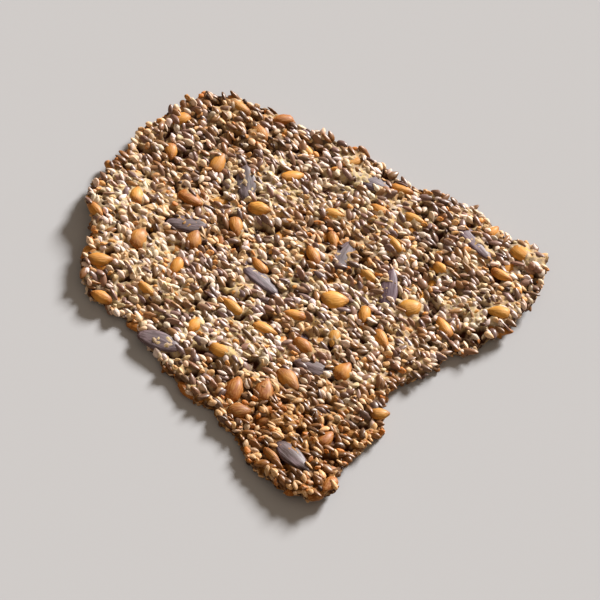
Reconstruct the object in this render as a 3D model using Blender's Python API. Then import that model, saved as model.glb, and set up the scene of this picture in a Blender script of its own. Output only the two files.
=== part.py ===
"""Seed cracker: one shard broken from a thin baked sheet of seeds.

The shard lies on a table with its seeded face up. The origin is on the table under the middle of
the shard's box, +X runs to its right corner and +Y to its far edge. Lengths are in metres.
"""

import math
import random
from collections import namedtuple

import bmesh
import bpy
from mathutils import Matrix, Vector

MM = 0.001
TURN = 2 * math.pi

# The break turns at these places, in millimetres. They run counterclockwise from the left corner,
# by the blunt tip at the near end, to the right corner and back along the far edge.
BREAK_TURNS_MM = [
    (-75, 14), (-66, -23), (-38, -42), (-20, -52), (-7, -68), (4, -75), (14, -77),
    (22, -71), (23, -60), (34, -41), (33, -23), (49, -1), (58, 3), (70, 25), (75, 48),
    (52, 60), (27, 63), (-13, 74), (-34, 77), (-46, 75), (-55, 63), (-70, 31),
]
HALF_LENGTH = 75 * MM
HALF_DEPTH = 77 * MM
BREAK_STEP = 4.4 * MM
BREAK_ROUGHNESS = 0.125
BREAK_DRAWS = 17
TORN_DEPTH = 0.3 * MM

# The sheet. Its cells are what lets it curl and swell.
SHEET_THICKNESS = 2.9 * MM
SHEET_SWELL = 0.32 * MM
SHEET_CELL = 8.5 * MM
RIM_ROUNDING = 0.6 * MM

# Corners that curled up in the oven: place, reach of the curl and rise at the place, in millimetres.
CURLS_MM = [
    ((-74, 6), 54, 3.4),
    ((74, 46), 62, 4.4),
    ((14, -77), 46, 2.4),
    ((-42, 76), 46, 2.2),
]

# A seed lies along its length. Its taper narrows one end, proud is the share of its thickness that
# stands out of the face, and sides and rings say how many facets it is cut with.
Seed = namedtuple("Seed", "name length width thickness taper proud sides rings")
PUMPKIN = Seed("pumpkin", 15.0 * MM, 7.4 * MM, 2.6 * MM, 0.40, 0.50, 8, 5)
SUNFLOWER = Seed("sunflower", 7.9 * MM, 4.4 * MM, 2.4 * MM, 0.50, 0.52, 6, 4)
FLAX = Seed("flax", 4.7 * MM, 2.5 * MM, 1.4 * MM, 0.45, 0.62, 4, 3)
SESAME = Seed("sesame", 3.4 * MM, 2.1 * MM, 1.2 * MM, 0.40, 0.62, 4, 3)

# The kernels that catch the eye: place in millimetres and heading in degrees.
BOLD_KERNELS = {
    PUMPKIN: [(-14, 4, -30), (-41, -33, -4), (7, -63, -36), (10, 25, 77), (-26, 42, 100), (26, 17, 91)],
    SUNFLOWER: [
        (-59, 22, 93), (-42, 28, -17), (-65, -9, 22), (-38, 12, 85), (-20, 33, 10), (-36, 47, 78),
        (-15, -42, 84), (-6, -39, 92), (-12, -50, 22), (1, -32, -42), (16, -51, 65), (17, -22, 69),
        (3, -17, -30), (10, 5, 22), (34, 12, 44), (66, 46, -31), (-21, -29, -4), (-55, 4, 78),
    ],
}

# Kinds on a face, the largest first: kind, how many, number that starts its draws, and the least
# distance in millimetres from a seed's middle to the break.
TOP_SEEDS = [
    (PUMPKIN, 10, 21, 5.0),
    (SUNFLOWER, 54, 22, 1.2),
    (FLAX, 64, 23, 0.4),
    (SESAME, 32, 24, 0.4),
]
# The underside baked flat, so its seeds stand out only where the sheet curled off the table.
UNDER_SEEDS = [
    (SUNFLOWER, 8, 32, 1.2),
    (FLAX, 8, 33, 0.4),
]
UNDER_PROUD = 0.34
LEAST_GAP = 0.15 * MM
# Kinds that stick out of the break all round: kind, how many, number that starts the draws.
RIM_SEEDS = [
    (SUNFLOWER, 9, 41),
    (FLAX, 26, 42),
]
RIM_INSET = 1.3 * MM
RIM_SKEW = 1.1

CLOSEST = 0.88
CANDIDATES = 5
MOST_TRIES = 300
MOST_TILT = math.radians(10)
LEAST_SIZE = 0.9
SIZE_SPREAD = 0.2
SPOT_SHARE = 0.30

# Colours: base colour, roughness.
DOUGH_LOOK = ((0.50, 0.33, 0.17), 0.75)
SEED_LOOKS = {
    PUMPKIN: ((0.17, 0.15, 0.10), 0.55),
    SUNFLOWER: ((0.52, 0.25, 0.08), 0.50),
    FLAX: ((0.09, 0.05, 0.04), 0.40),
    SESAME: ((0.68, 0.52, 0.32), 0.60),
}


def broken_edge(start, end, draws):
    """Points from start to just before end. Halves are split on until the steps are short, each
    middle pushed sideways by a share of its span, as a brittle sheet breaks."""
    along = end - start
    if along.length < BREAK_STEP:
        return [start]
    push = draws.uniform(-BREAK_ROUGHNESS, BREAK_ROUGHNESS)
    middle = (start + end) / 2 + Vector((-along.y, along.x)) * push
    return broken_edge(start, middle, draws) + broken_edge(middle, end, draws)


def break_outline():
    """The whole outline, counterclockwise, kept inside the shard's box."""
    turns = [Vector(turn) * MM for turn in BREAK_TURNS_MM]
    draws = random.Random(BREAK_DRAWS)
    outline = []
    for start, end in zip(turns, turns[1:] + turns[:1]):
        outline += broken_edge(start, end, draws)
    for point in outline:
        point.x = max(-HALF_LENGTH, min(HALF_LENGTH, point.x))
        point.y = max(-HALF_DEPTH, min(HALF_DEPTH, point.y))
    return outline


def inset(x, y, outline):
    """Distance from a point to the outline, positive inside it."""
    nearest, inside = math.inf, False
    for a, b in zip(outline, outline[1:] + outline[:1]):
        dx, dy = b.x - a.x, b.y - a.y
        share = ((x - a.x) * dx + (y - a.y) * dy) / (dx * dx + dy * dy)
        share = min(1.0, max(0.0, share))
        nearest = min(nearest, math.hypot(x - a.x - share * dx, y - a.y - share * dy))
        if (a.y > y) != (b.y > y) and x < a.x + (y - a.y) * dx / dy:
            inside = not inside
    return nearest if inside else -nearest


def under_face(x, y):
    """Height of the underside: flat on the table but for the curled corners."""
    rise = 0.0
    for (cx, cy), reach, height in CURLS_MM:
        share = 1 - math.hypot(x / MM - cx, y / MM - cy) / reach
        rise += height * MM * max(0.0, share) ** 2
    return rise


def top_face(x, y):
    """Height of the seeded face, which swells and sinks a little as baked dough does."""
    swell = math.sin(x / (9 * MM) + 1.1) * math.sin(y / (11 * MM) + 0.4)
    swell += 0.8 * math.sin((x + 0.6 * y) / (5.2 * MM))
    return under_face(x, y) + SHEET_THICKNESS + SHEET_SWELL * swell


def middle_face(x, y):
    return (under_face(x, y) + top_face(x, y)) / 2


def slope_turn(face, x, y):
    """Rotation that lays a flat seed on a face at this place."""
    step = 1 * MM
    rise_x = (face(x + step, y) - face(x - step, y)) / (2 * step)
    rise_y = (face(x, y + step) - face(x, y - step)) / (2 * step)
    normal = Vector((-rise_x, -rise_y, 1)).normalized()
    return Vector((0, 0, 1)).rotation_difference(normal).to_matrix().to_4x4()


def spots_of(seed, x, y, heading):
    """Three discs along a seed that stand for its footprint: place and radius."""
    radius = seed.width / 2
    reach = seed.length / 2 - radius * 0.8
    spots = []
    for side in (-1, 0, 1):
        spot_x = x + side * reach * math.cos(heading)
        spot_y = y + side * reach * math.sin(heading)
        spots.append((spot_x, spot_y, radius * (1 - SPOT_SHARE * abs(side))))
    return spots


def in_box(spots):
    """True if a footprint keeps inside the shard's box."""
    return all(
        abs(x) + radius < HALF_LENGTH and abs(y) + radius < HALF_DEPTH for x, y, radius in spots
    )


def meets(spots, taken):
    """True if a footprint is nearer to a taken one than they may lie."""
    for x, y, radius in spots:
        for other_x, other_y, other in taken:
            if math.hypot(x - other_x, y - other_y) < CLOSEST * (radius + other):
                return True
    return False


def place_seeds(plan, outline, bold, allowed):
    """Seeds of one face as (kind, x, y, heading, tilt, size). After the bold ones, each takes the
    place farthest from its own kind out of a few free ones, so that a kind spreads evenly."""
    taken = []
    placed = []
    for seed, count, start, margin in plan:
        draws = random.Random(start)
        kin = []
        for number in range(count):
            best, best_gap, found = None, -1.0, 0
            if number < len(bold.get(seed, [])):
                x, y, degrees = bold[seed][number]
                best = (x * MM, y * MM, math.radians(degrees))
            for _ in range(MOST_TRIES * (best is None)):
                x = draws.uniform(-HALF_LENGTH, HALF_LENGTH)
                y = draws.uniform(-HALF_DEPTH, HALF_DEPTH)
                heading = draws.uniform(0, TURN)
                spots = spots_of(seed, x, y, heading)
                if not in_box(spots) or not allowed(seed, x, y) or meets(spots, taken):
                    continue
                if inset(x, y, outline) < margin * MM:
                    continue
                gap = min((math.hypot(x - kx, y - ky) for kx, ky in kin), default=math.inf)
                if gap > best_gap:
                    best, best_gap = (x, y, heading), gap
                found += 1
                if found == CANDIDATES:
                    break
            if best is None:
                break
            tilt = draws.uniform(-MOST_TILT, MOST_TILT)
            size = LEAST_SIZE + SIZE_SPREAD * draws.random()
            placed.append((seed, *best, tilt, size))
            kin.append(best[:2])
            taken += spots_of(seed, *best)
    return placed


def anywhere(seed, x, y):
    return True


def off_the_table(seed, x, y):
    """True where the curl leaves room for a seed under the sheet."""
    return under_face(x, y) > UNDER_PROUD * seed.thickness * 1.1 + LEAST_GAP


def rim_places(outline):
    """Seeds in the break as (kind, x, y, heading, tilt, size), at even steps along the outline."""
    lengths = [(b - a).length for a, b in zip(outline, outline[1:] + outline[:1])]
    around = sum(lengths)
    placed = []
    for seed, count, start in RIM_SEEDS:
        draws = random.Random(start)
        for number in range(count):
            way = around * (number + draws.uniform(0.1, 0.9)) / count
            skew = draws.uniform(-RIM_SKEW, RIM_SKEW)
            tilt = draws.uniform(-2, 2) * MOST_TILT
            size = LEAST_SIZE + SIZE_SPREAD * draws.random()
            index = 0
            while way > lengths[index]:
                way -= lengths[index]
                index += 1
            a, b = outline[index], outline[(index + 1) % len(outline)]
            ahead = (b - a).normalized()
            heading = math.atan2(ahead.y, ahead.x) + skew
            place = a + ahead * way + Vector((-ahead.y, ahead.x)) * RIM_INSET
            if in_box(spots_of(seed, place.x, place.y, heading)):
                placed.append((seed, place.x, place.y, heading, tilt, size))
    return placed


def plain_material(name, colour, roughness):
    """A matt finish for a dry baked surface."""
    material = bpy.data.materials.new(name)
    material.use_nodes = True
    shader = material.node_tree.nodes["Principled BSDF"]
    shader.inputs["Base Color"].default_value = (*colour, 1)
    shader.inputs["Roughness"].default_value = roughness
    shader.inputs["Metallic"].default_value = 0
    return material


def new_collection(name):
    collection = bpy.data.collections.new(name)
    bpy.context.scene.collection.children.link(collection)
    return collection


def sheet_of_dough(outline, collection):
    """The bare sheet: a filled outline with thickness and a rounded rim, cut into cells, torn a
    little along the break, and raised to its curled form."""
    curve = bpy.data.curves.new("sheet_outline", "CURVE")
    curve.dimensions = "2D"
    curve.fill_mode = "BOTH"
    curve.extrude = SHEET_THICKNESS / 2 - RIM_ROUNDING
    curve.bevel_depth = RIM_ROUNDING
    curve.bevel_resolution = 0
    curve.offset = -RIM_ROUNDING
    line = curve.splines.new("POLY")
    line.points.add(len(outline) - 1)
    for point, place in zip(line.points, outline):
        point.co = (place.x, place.y, 0, 1)
    line.use_cyclic_u = True
    guide = bpy.data.objects.new("sheet_outline", curve)
    collection.objects.link(guide)
    graph = bpy.context.evaluated_depsgraph_get()
    mesh = bpy.data.meshes.new_from_object(guide.evaluated_get(graph))
    bpy.data.objects.remove(guide)

    bm = bmesh.new()
    bm.from_mesh(mesh)
    bmesh.ops.remove_doubles(bm, verts=bm.verts, dist=0.01 * MM)
    bmesh.ops.dissolve_limit(bm, angle_limit=math.radians(1), verts=bm.verts, edges=bm.edges)
    draws = random.Random(BREAK_DRAWS)
    for vert in bm.verts:
        if abs(vert.co.z) < SHEET_THICKNESS / 2 - RIM_ROUNDING / 2:
            inwards = -vert.co.xy.normalized() * TORN_DEPTH * draws.uniform(0, 1)
            vert.co.x += inwards.x
            vert.co.y += inwards.y
    cut_into_cells(bm)
    for vert in bm.verts:
        share = vert.co.z / SHEET_THICKNESS + 0.5
        low, high = under_face(vert.co.x, vert.co.y), top_face(vert.co.x, vert.co.y)
        vert.co.z = low + share * (high - low)
    bmesh.ops.triangulate(bm, faces=bm.faces)
    bmesh.ops.recalc_face_normals(bm, faces=bm.faces)
    bm.to_mesh(mesh)
    bm.free()
    sheet = bpy.data.objects.new("cracker", mesh)
    collection.objects.link(sheet)
    return sheet


def cut_into_cells(bm):
    """Cuts the flat slab by upright planes both ways."""
    for axis in (Vector((1, 0, 0)), Vector((0, 1, 0))):
        places = [vert.co.dot(axis) for vert in bm.verts]
        first = math.ceil(min(places) / SHEET_CELL)
        last = math.floor(max(places) / SHEET_CELL)
        for number in range(first, last + 1):
            bmesh.ops.bisect_plane(
                bm,
                geom=bm.verts[:] + bm.edges[:] + bm.faces[:],
                dist=0.05 * MM,
                plane_co=axis * (number + 0.37) * SHEET_CELL,
                plane_no=axis,
            )


def seed_body(name, seed, place, collection, material):
    """One seed: a ball with its poles at the ends, drawn out to its sizes and narrowed at one."""
    bm = bmesh.new()
    bmesh.ops.create_uvsphere(bm, u_segments=seed.sides, v_segments=seed.rings, radius=0.5)
    for vert in bm.verts:
        along, across, up = vert.co.z, vert.co.x, vert.co.y
        ahead = max(0.0, 2 * along)
        vert.co = Vector((
            along * seed.length,
            across * seed.width * (1 - seed.taper * ahead) * 1.08,
            up * seed.thickness * (1 - 0.25 * ahead),
        ))
    bmesh.ops.recalc_face_normals(bm, faces=bm.faces)
    mesh = bpy.data.meshes.new(name)
    bm.to_mesh(mesh)
    bm.free()
    mesh.materials.append(material)
    body = bpy.data.objects.new(name, mesh)
    body.matrix_world = place
    collection.objects.link(body)
    return body


def seeds_on_face(name, placed, face, outward, proud_share, collection, looks):
    """All the seeds of one face, sunk into it by what doesn't stand proud."""
    for number, (seed, x, y, heading, tilt, size) in enumerate(placed):
        proud = proud_share or seed.proud
        height = face(x, y) + outward * (proud - 0.5) * seed.thickness
        place = Matrix.Translation((x, y, height)) @ slope_turn(face, x, y)
        place = place @ Matrix.Rotation(heading, 4, "Z") @ Matrix.Rotation(tilt, 4, "X")
        place = place @ Matrix.Scale(size, 4)
        seed_body(f"{name}_{number:03d}", seed, place, collection, looks[seed])


def join_all(target, collection):
    """One union of the target with everything in the collection, which is then removed."""
    modifier = target.modifiers.new("Join", "BOOLEAN")
    modifier.operation = "UNION"
    modifier.operand_type = "COLLECTION"
    modifier.collection = collection
    modifier.solver = "EXACT"
    modifier.material_mode = "TRANSFER"
    graph = bpy.context.evaluated_depsgraph_get()
    mesh = bpy.data.meshes.new_from_object(target.evaluated_get(graph))
    target.modifiers.clear()
    target.data = mesh
    for body in list(collection.objects):
        bpy.data.objects.remove(body)
    bpy.data.collections.remove(collection)


def connected_pieces(bm):
    """The mesh's separate sets of vertices, largest first."""
    left = set(bm.verts)
    pieces = []
    while left:
        todo = [left.pop()]
        piece = set(todo)
        while todo:
            for edge in todo.pop().link_edges:
                for vert in edge.verts:
                    if vert in left:
                        left.remove(vert)
                        piece.add(vert)
                        todo.append(vert)
        pieces.append(piece)
    return sorted(pieces, key=len, reverse=True)


def finish_mesh(cracker):
    """Welds the joined mesh, drops sealed hollows and loose scraps, and shades it."""
    bm = bmesh.new()
    bm.from_mesh(cracker.data)
    bmesh.ops.remove_doubles(bm, verts=bm.verts, dist=0.004 * MM)
    bmesh.ops.dissolve_degenerate(bm, dist=0.004 * MM, edges=bm.edges)
    bmesh.ops.triangulate(bm, faces=bm.faces)
    for piece in connected_pieces(bm)[1:]:
        bmesh.ops.delete(bm, geom=list(piece), context="VERTS")
    bm.to_mesh(cracker.data)
    bm.free()
    cracker.data.shade_smooth()
    cracker.data.set_sharp_from_angle(angle=math.radians(40))


def build():
    for old in list(bpy.data.objects):
        bpy.data.objects.remove(old)
    parts = new_collection("seed_cracker")
    seeds = new_collection("seeds_to_join")
    outline = break_outline()
    cracker = sheet_of_dough(outline, parts)
    cracker.data.materials.append(plain_material("baked_dough", *DOUGH_LOOK))
    looks = {seed: plain_material(seed.name + "_seed", *look) for seed, look in SEED_LOOKS.items()}

    top = place_seeds(TOP_SEEDS, outline, BOLD_KERNELS, anywhere)
    seeds_on_face("top", top, top_face, 1, None, seeds, looks)
    under = place_seeds(UNDER_SEEDS, outline, {}, off_the_table)
    seeds_on_face("under", under, under_face, -1, UNDER_PROUD, seeds, looks)
    seeds_on_face("rim", rim_places(outline), middle_face, 1, 0.5, seeds, looks)
    bpy.context.view_layer.update()
    join_all(cracker, seeds)
    finish_mesh(cracker)


build()
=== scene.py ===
# %% [markdown]
# # A shard of seed cracker
# A seed cracker is a thin sheet of seeds held together by very little dough. It is spread thin,
# baked until it is brittle and broken by hand, so its outline is a matter of chance and its face
# is a crowd of seeds at all angles. In these cells the shard is made as a baker would make it:
# the sheet first, then the large kernels, then the small seeds that fill the gaps, and at last
# the dough that creeps up between them.

# %% Load the solid that the looks are built around
import math
import random
from collections import namedtuple

import bmesh
import bpy
import numpy as np
from mathutils import Matrix, Vector
from mathutils.bvhtree import BVHTree


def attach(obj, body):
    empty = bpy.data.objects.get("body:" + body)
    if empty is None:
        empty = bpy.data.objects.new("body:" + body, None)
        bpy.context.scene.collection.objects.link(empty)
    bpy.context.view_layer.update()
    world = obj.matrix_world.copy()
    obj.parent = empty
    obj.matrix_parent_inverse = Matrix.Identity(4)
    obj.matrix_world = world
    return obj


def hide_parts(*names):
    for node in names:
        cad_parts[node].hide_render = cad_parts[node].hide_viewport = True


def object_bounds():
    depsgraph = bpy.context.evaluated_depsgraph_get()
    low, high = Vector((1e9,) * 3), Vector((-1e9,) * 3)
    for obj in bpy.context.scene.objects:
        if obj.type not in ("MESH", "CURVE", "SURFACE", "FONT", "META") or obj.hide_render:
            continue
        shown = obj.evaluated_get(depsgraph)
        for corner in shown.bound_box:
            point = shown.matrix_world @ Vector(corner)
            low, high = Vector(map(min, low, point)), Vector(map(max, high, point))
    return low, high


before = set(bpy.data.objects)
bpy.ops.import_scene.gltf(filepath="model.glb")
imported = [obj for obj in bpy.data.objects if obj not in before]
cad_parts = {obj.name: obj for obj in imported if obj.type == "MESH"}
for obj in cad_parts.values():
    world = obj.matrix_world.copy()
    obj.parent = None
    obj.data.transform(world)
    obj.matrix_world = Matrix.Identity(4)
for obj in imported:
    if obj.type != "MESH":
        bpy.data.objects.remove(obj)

MM = 0.001
TURN = 2 * math.pi


def in_mm(box):
    """The corners of a box in millimetres, short enough to print."""
    return [[round(v / MM, 1) for v in corner] for corner in box]


def new_object(name, data):
    made = bpy.data.objects.new(name, data)
    bpy.context.scene.collection.objects.link(made)
    return made


cad_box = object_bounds()
print("box of the solid, in mm:", in_mm(cad_box))

# %% [markdown]
# ## The camera
# The eye is a long way off and a little to the left, and looks down on the face at about 47
# degrees. Its head is tipped sideways too, so that the shard's tip points down and to the right.
# The three vectors are worked out once, in the shard's own frame, and a camera is then a place
# and three axes.

# %% Camera
TO_EYE = Vector((-0.0974, -0.6690, 0.7366)).normalized()
EYE_RIGHT = Vector((0.950, 0.158, 0.269))
EYE_DISTANCE = 1.57
AIM = Vector((-0.001, 0.001, 0.003))

camera_data = bpy.data.cameras.new("camera")
camera_data.lens = 300
camera_data.sensor_width = 36
camera_data.clip_end = 10
camera = new_object("camera", camera_data)
bpy.context.scene.camera = camera
eye_right = (EYE_RIGHT - TO_EYE * EYE_RIGHT.dot(TO_EYE)).normalized()
eye_up = TO_EYE.cross(eye_right)
turned = Matrix((eye_right, eye_up, TO_EYE)).transposed().to_4x4()
camera.matrix_world = Matrix.Translation(AIM + TO_EYE * EYE_DISTANCE) @ turned
print("camera at", [round(v, 3) for v in camera.matrix_world.translation])

# %% [markdown]
# ## The break
# A brittle sheet breaks along nearly straight runs that turn where a seed or a thick spot was in
# the way, and each run is ragged in itself. The turns are measured, and the raggedness comes
# from a rule: a run is halved again and again, and each middle is pushed sideways by a small
# share of its length. A fixed start for the random draws gives the same break each time.

# %% The outline of the break
BREAK_TURNS_MM = [
    (-75, 14), (-66, -23), (-38, -42), (-20, -52), (-7, -68), (4, -75), (14, -77),
    (22, -71), (23, -60), (34, -41), (33, -23), (49, -1), (58, 3), (70, 25), (75, 48),
    (52, 60), (27, 63), (-13, 74), (-34, 77), (-46, 75), (-55, 63), (-70, 31),
]
HALF_LENGTH = 75 * MM
HALF_DEPTH = 77 * MM
BREAK_STEP = 4.4 * MM
BREAK_ROUGHNESS = 0.125
BREAK_START = 17


def broken_edge(start, end, draws):
    """Points from start to just before end, halved until the steps are short."""
    along = end - start
    if along.length < BREAK_STEP:
        return [start]
    push = draws.uniform(-BREAK_ROUGHNESS, BREAK_ROUGHNESS)
    middle = (start + end) / 2 + Vector((-along.y, along.x)) * push
    return broken_edge(start, middle, draws) + broken_edge(middle, end, draws)


turns = [Vector(turn) * MM for turn in BREAK_TURNS_MM]
draws = random.Random(BREAK_START)
outline = []
for start, end in zip(turns, turns[1:] + turns[:1]):
    outline += broken_edge(start, end, draws)
for point in outline:
    point.x = max(-HALF_LENGTH, min(HALF_LENGTH, point.x))
    point.y = max(-HALF_DEPTH, min(HALF_DEPTH, point.y))
sides = list(zip(outline, outline[1:] + outline[:1]))
print("the break has", len(outline), "corners")

# %% [markdown]
# ## The two faces of the sheet
# The underside baked flat, and the corners curled up in the oven. The upper face swells and
# sinks a little. Both are plain functions of the place on the sheet, so every later cell can ask
# how high the sheet is at any point, one number or a whole array at a time.

# %% Heights of the underside and of the seeded face
SHEET_THICKNESS = 2.9 * MM
SHEET_SWELL = 0.32 * MM
CURLS_MM = [
    # middle, reach and rise
    ((-74, 6), 54, 3.4), ((74, 46), 62, 4.4), ((14, -77), 46, 2.4), ((-42, 76), 46, 2.2),
]


def nearness(x, y, middle, reach):
    """1 in the middle of a round patch given in mm, falling to 0 at its reach and beyond."""
    return np.clip(1 - np.hypot(x / MM - middle[0], y / MM - middle[1]) / reach, 0, 1)


def under_face(x, y):
    return sum(rise * MM * nearness(x, y, middle, reach) ** 2 for middle, reach, rise in CURLS_MM)


def top_face(x, y):
    swell = np.sin(x / (9 * MM) + 1.1) * np.sin(y / (11 * MM) + 0.4)
    swell = swell + 0.8 * np.sin((x + 0.6 * y) / (5.2 * MM))
    return under_face(x, y) + SHEET_THICKNESS + SHEET_SWELL * swell


def middle_face(x, y):
    return (under_face(x, y) + top_face(x, y)) / 2


def slope(face, x, y):
    """How much a face rises along X and along Y at a place."""
    step = 1 * MM
    rise_x = (face(x + step, y) - face(x - step, y)) / (2 * step)
    rise_y = (face(x, y + step) - face(x, y - step)) / (2 * step)
    return float(rise_x), float(rise_y)


print("the face is", round(float(top_face(0.0, 0.0)) / MM, 1), "mm above the table in the middle")

# %% [markdown]
# ## A map of the sheet
# Seeds lie on each other, and dough creeps between them. That is easiest on a map: a grid of
# square cells a quarter of a millimetre wide that holds one height for each place. The first
# map says how far each cell is inside the break. For that, the distance to every side of the
# break is worked out at once, and a place is on the sheet if a line from it crosses the break an
# odd number of times.

# %% The grid and the distance to the break
STEP = 0.25 * MM
GRID_X = np.arange(-78 * MM, 78 * MM, STEP)
GRID_Y = np.arange(-80 * MM, 80 * MM, STEP)
XX, YY = np.meshgrid(GRID_X, GRID_Y, indexing="ij")
START_X, START_Y = np.array([a for a, b in sides]).T
END_X, END_Y = np.array([b for a, b in sides]).T
ALONG_X, ALONG_Y = END_X - START_X, END_Y - START_Y
CLIMB = np.where(ALONG_Y, ALONG_Y, 1.0)


def inset_of(x, y):
    """Distance to the break for one place or a row of places, positive on the sheet."""
    x, y = np.asarray(x)[..., None], np.asarray(y)[..., None]
    from_x, from_y = x - START_X, y - START_Y
    share = (from_x * ALONG_X + from_y * ALONG_Y) / (ALONG_X**2 + ALONG_Y**2)
    share = np.clip(share, 0, 1)
    nearest = np.hypot(from_x - share * ALONG_X, from_y - share * ALONG_Y).min(-1)
    level = (START_Y > y) != (END_Y > y)
    crossed = level & (x < START_X + from_y * ALONG_X / CLIMB)
    return np.where(crossed.sum(-1) % 2, nearest, -nearest)


INSET = np.array([inset_of(x, GRID_Y) for x in GRID_X])
ON_SHEET = INSET > 0


def map_inset(x, y):
    """The same distance for one place, read from its cell of the map."""
    return INSET[int((x - GRID_X[0]) / STEP), int((y - GRID_Y[0]) / STEP)]


print("sheet area:", round(float(ON_SHEET.sum()) * (STEP / MM) ** 2), "square mm")

# %% [markdown]
# ## The kinds of seed
# Five things stand out of the face: long dark pumpkin kernels, drop-shaped sunflower kernels,
# glossy brown flax, cream sesame and tiny dark chia. Bits of chopped kernel lie between. Each
# kind is known by its length, width and thickness, by how much one end narrows, and by the share
# of its thickness that stands proud.

# %% Sizes of the kinds
Seed = namedtuple("Seed", "name length width thickness taper proud")
PUMPKIN = Seed("pumpkin", 15.0 * MM, 7.4 * MM, 2.6 * MM, 0.40, 0.50)
SUNFLOWER = Seed("sunflower", 7.9 * MM, 4.4 * MM, 2.4 * MM, 0.50, 0.52)
FLAX = Seed("flax", 4.7 * MM, 2.5 * MM, 1.2 * MM, 0.45, 0.62)
SESAME = Seed("sesame", 3.4 * MM, 2.1 * MM, 1.0 * MM, 0.40, 0.62)
CHIA = Seed("chia", 2.1 * MM, 1.5 * MM, 1.1 * MM, 0.15, 0.62)
BIT = Seed("bit", 3.1 * MM, 2.2 * MM, 1.4 * MM, 0.20, 0.50)
KINDS = [PUMPKIN, SUNFLOWER, FLAX, SESAME, CHIA, BIT]
print("length, width and thickness:", {kind.name: in_mm([kind[1:4]])[0] for kind in KINDS})

# %% [markdown]
# ## Where the kernels lie
# The boldest kernels have their own places. The rest are spread by a rule: of a few free places,
# a kernel takes the one farthest from its own kind. A footprint of three discs keeps one kernel
# off another. The lists come first, and the rule after them.

# %% The bold kernels, and how many of each kind are spread
BOLD_KERNELS = {
    # place in mm and heading in degrees
    PUMPKIN: [
        (-14, 4, -30), (-41, -33, -4), (7, -63, -36), (10, 25, 77), (-26, 42, 100), (26, 17, 91),
    ],
    SUNFLOWER: [
        (-59, 22, 93), (-42, 28, -17), (-65, -9, 22), (-38, 12, 85), (-20, 33, 10), (-36, 47, 78),
        (-15, -42, 84), (-6, -39, 92), (-12, -50, 22), (1, -32, -42), (16, -51, 65), (17, -22, 69),
        (3, -17, -30), (10, 5, 22), (34, 12, 44), (66, 46, -31), (-21, -29, -4), (-55, 4, 78),
    ],
}
TOP_SEEDS = [
    # kind, how many, start of the draws, least distance to the break in mm
    (PUMPKIN, 10, 21, 5.0), (SUNFLOWER, 54, 22, 1.2), (FLAX, 64, 23, 0.4), (SESAME, 32, 24, 0.4),
]
UNDER_SEEDS = [(SUNFLOWER, 8, 32, 1.2), (FLAX, 8, 33, 0.4)]
RIM_SEEDS = [
    # kind, how many, start of the draws
    (SUNFLOWER, 9, 41), (FLAX, 26, 42),
]
print("bold kernels:", {kind.name: len(places) for kind, places in BOLD_KERNELS.items()})

# %% The rule that spreads the kernels
CLOSEST = 0.88
CANDIDATES = 5
MOST_TRIES = 300
MOST_TILT = math.radians(10)
LEAST_SIZE = 0.9
SIZE_SPREAD = 0.2
ENDS_DRAWN_IN = 0.8
ENDS_SMALLER = 0.30


def anywhere(draws):
    """A random place in the box that holds the sheet."""
    return draws.uniform(-HALF_LENGTH, HALF_LENGTH), draws.uniform(-HALF_DEPTH, HALF_DEPTH)


def spots_of(seed, x, y, heading):
    """Three discs that cover a seed: a large one in the middle and a smaller one at each end."""
    radius = seed.width / 2
    reach = seed.length / 2 - radius * ENDS_DRAWN_IN
    spots = []
    for side in (-1, 0, 1):
        spot_x = x + side * reach * math.cos(heading)
        spot_y = y + side * reach * math.sin(heading)
        spots.append((spot_x, spot_y, radius * (1 - ENDS_SMALLER * abs(side))))
    return spots


def in_box(spots):
    return all(abs(x) + r < HALF_LENGTH and abs(y) + r < HALF_DEPTH for x, y, r in spots)


def meets(spots, taken):
    for x, y, radius in spots:
        for taken_x, taken_y, taken_radius in taken:
            if math.hypot(x - taken_x, y - taken_y) < CLOSEST * (radius + taken_radius):
                return True
    return False


# %% One free place, and then all of them
def free_place(seed, margin, draws, kin, taken, allowed):
    """Of a few free places, the one that is farthest from the seed's own kind."""
    best, best_gap, found = None, -1.0, 0
    for _ in range(MOST_TRIES):
        x, y = anywhere(draws)
        heading = draws.uniform(0, TURN)
        spots = spots_of(seed, x, y, heading)
        if not in_box(spots) or not allowed(seed, x, y) or meets(spots, taken):
            continue
        if inset_of(x, y) < margin * MM:
            continue
        gap = min((math.hypot(x - kx, y - ky) for kx, ky in kin), default=math.inf)
        if gap > best_gap:
            best, best_gap = (x, y, heading), gap
        found += 1
        if found == CANDIDATES:
            break
    return best


def place_seeds(plan, bold, allowed):
    """Each kernel of the plan as its kind, place, heading, tilt and size."""
    taken, placed = [], []
    for seed, count, start, margin in plan:
        draws = random.Random(start)
        kin = []
        for number in range(count):
            if number < len(bold.get(seed, [])):
                x, y, degrees = bold[seed][number]
                best = (x * MM, y * MM, math.radians(degrees))
            else:
                best = free_place(seed, margin, draws, kin, taken, allowed)
            if best is None:
                break
            tilt = draws.uniform(-MOST_TILT, MOST_TILT)
            size = LEAST_SIZE + SIZE_SPREAD * draws.random()
            placed.append((seed, *best, tilt, size))
            kin.append(best[:2])
            taken += spots_of(seed, *best)
    return placed


# %% The seeds that stick out of the break all round
RIM_INSET = 1.3 * MM
RIM_SKEW = 1.1
side_lengths = [(b - a).length for a, b in sides]
around = sum(side_lengths)


def on_the_rim(way, inwards):
    """A place at a distance along the break and a little inside it, with the break's heading."""
    index = 0
    while way > side_lengths[index]:
        way -= side_lengths[index]
        index += 1
    a, b = sides[index]
    ahead = (b - a).normalized()
    place = a + ahead * way + Vector((-ahead.y, ahead.x)) * inwards
    return place.x, place.y, math.atan2(ahead.y, ahead.x)


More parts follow.
